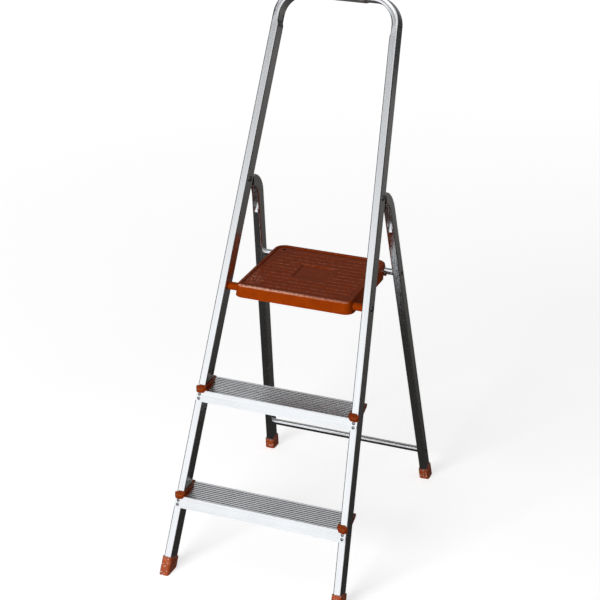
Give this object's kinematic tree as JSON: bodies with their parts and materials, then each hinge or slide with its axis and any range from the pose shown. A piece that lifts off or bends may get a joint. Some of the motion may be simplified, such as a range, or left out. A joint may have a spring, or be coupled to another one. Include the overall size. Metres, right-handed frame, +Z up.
{
  "type": "step ladder",
  "caption": "Folding aluminium step ladder with ribbed treads, a bent tube handrail and a plastic platform that tilts up as the rear legs fold.",
  "frame": {"origin": "on the floor, in the middle of the width and of the depth over the feet", "axes": "+Z up, +Y towards the rear legs, +X to the right of a person facing the steps"},
  "size_m": [0.446, 0.6732, 1.253],
  "materials": {
    "tube": "drawn aluminium tube with fine lines along its length",
    "tread": "extruded aluminium, ribbed on top and satin on the apron",
    "bar": "bright drawn tube",
    "plastic": "moulded rust brown plastic with a fine grain",
    "foot": "moulded rust brown plastic, scuffed",
    "rivet": "bright steel rivet",
    "pin": "plain turned steel",
    "eye": "dark moulded plastic",
    "bush": "pale bearing plastic"
  },
  "bodies": {
    "front_frame": {"front_frame_tube": "tube", "lower_tread": "tread", "upper_tread": "tread", "lower_tread_rivets": "rivet", "upper_tread_rivets": "rivet", "left_lower_tread_liner": "plastic", "right_lower_tread_liner": "plastic", "left_upper_tread_liner": "plastic", "right_upper_tread_liner": "plastic", "left_front_foot": "foot", "right_front_foot": "foot", "left_hinge_pin": "pin", "right_hinge_pin": "pin", "left_platform_pin": "pin", "right_platform_pin": "pin"},
    "rear_frame": {"left_rear_leg": "tube", "right_rear_leg": "tube", "left_hinge_eye": "eye", "right_hinge_eye": "eye", "upper_rear_bar": "bar", "lower_rear_bar": "bar", "upper_bar_rivets": "rivet", "lower_bar_rivets": "rivet", "left_rear_foot": "foot", "right_rear_foot": "foot"},
    "platform": {"platform": "plastic", "left_boss_bush": "bush", "right_boss_bush": "bush"}
  },
  "joints": [
    {"name": "rear_fold", "type": "hinge", "parent": "front_frame", "child": "rear_frame", "pos_m": [0, 0.05173, 0.842], "axis": [1, 0, 0], "range_deg": [-36.3, 0]},
    {"name": "platform_tilt", "type": "hinge", "parent": "front_frame", "child": "platform", "pos_m": [0, -0.04607, 0.616], "axis": [1, 0, 0], "range_deg": [0, 66]}
  ],
  "couplings": [
    {"joint": "platform_tilt", "follows": "rear_fold", "ratio": -1.8182}
  ]
}
